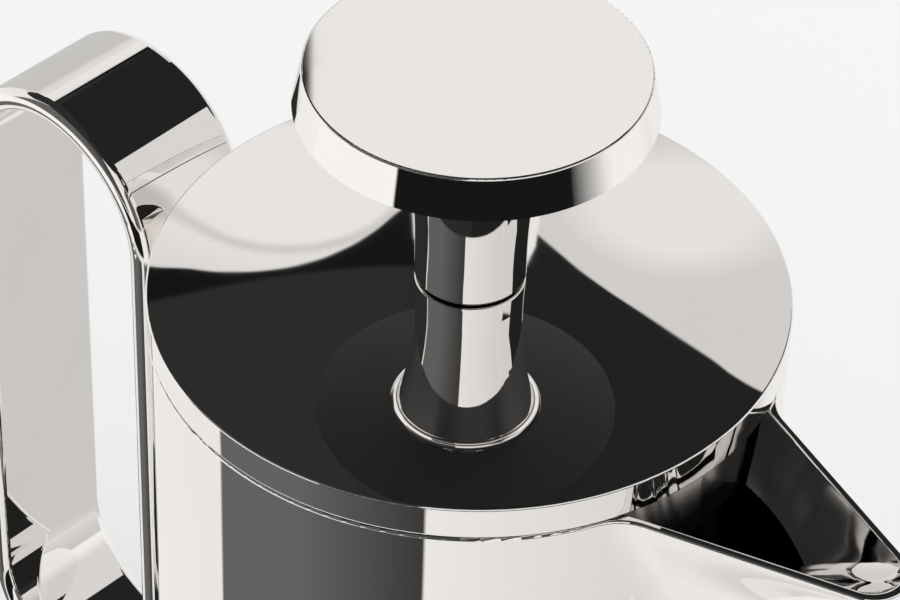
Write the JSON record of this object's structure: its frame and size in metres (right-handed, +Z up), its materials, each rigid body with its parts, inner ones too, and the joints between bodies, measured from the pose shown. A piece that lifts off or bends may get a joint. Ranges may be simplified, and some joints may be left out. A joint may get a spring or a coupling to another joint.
{
  "type": "press coffee pot",
  "caption": "Cylindrical polished steel press coffee pot with a folded spout, flat strap loop handle, domed lid and disc-topped plunger knob.",
  "frame": {"origin": "centre of the flat underside of the pot, on the pot's axis", "axes": "+Z up along the pot's axis, +X towards the spout, handle towards -X"},
  "size_m": [0.2017, 0.105, 0.2105],
  "materials": {
    "pot_body": "mirror-polished stainless steel",
    "handle_strap": "mirror-polished stainless steel",
    "handle_post_upper": "mirror-polished stainless steel",
    "handle_post_lower": "mirror-polished stainless steel",
    "lid_top": "mirror-polished stainless steel",
    "lid_pan": "bright stainless steel",
    "rod_bush": "plain moulded plastic",
    "bush_nut": "bright stainless steel",
    "knob_cap": "mirror-polished stainless steel",
    "knob_underplate": "plain moulded plastic",
    "knob_stem": "mirror-polished stainless steel",
    "knob_core": "plain moulded plastic",
    "knob_insert": "bright stainless steel",
    "plunger_rod": "bright stainless steel",
    "rod_collar": "bright stainless steel",
    "cover_plate": "bright stainless steel",
    "edge_spring": "bright stainless steel",
    "filter_mesh": "bright stainless steel",
    "cross_plate": "bright stainless steel",
    "hub_nut": "bright stainless steel"
  },
  "bodies": {
    "pot": {"pot_body": "pot_body", "handle_strap": "handle_strap", "handle_post_upper": "handle_post_upper", "handle_post_lower": "handle_post_lower"},
    "lid": {"lid_top": "lid_top", "lid_pan": "lid_pan", "rod_bush": "rod_bush", "bush_nut": "bush_nut"},
    "plunger": {"plunger_rod": "plunger_rod", "rod_collar": "rod_collar", "cover_plate": "cover_plate", "edge_spring": "edge_spring", "filter_mesh": "filter_mesh"},
    "knob": {"knob_cap": "knob_cap", "knob_underplate": "knob_underplate", "knob_stem": "knob_stem", "knob_core": "knob_core", "knob_insert": "knob_insert"},
    "filter_foot": {"cross_plate": "cross_plate", "hub_nut": "hub_nut"}
  },
  "joints": [
    {"name": "lid_lift", "type": "slide", "parent": "pot", "child": "lid", "axis": [0, 0, 1], "range_m": [0, 0.18]},
    {"name": "plunge", "type": "slide", "parent": "lid", "child": "plunger", "axis": [0, 0, 1], "range_m": [0, 0.115]},
    {"name": "knob_turn", "type": "hinge", "parent": "plunger", "child": "knob", "pos_m": [0, 0, 0.18], "axis": [0, 0, 1], "continuous": true},
    {"name": "hub_turn", "type": "hinge", "parent": "plunger", "child": "filter_foot", "pos_m": [0, 0, 0.012], "axis": [0, 0, 1], "continuous": true}
  ]
}
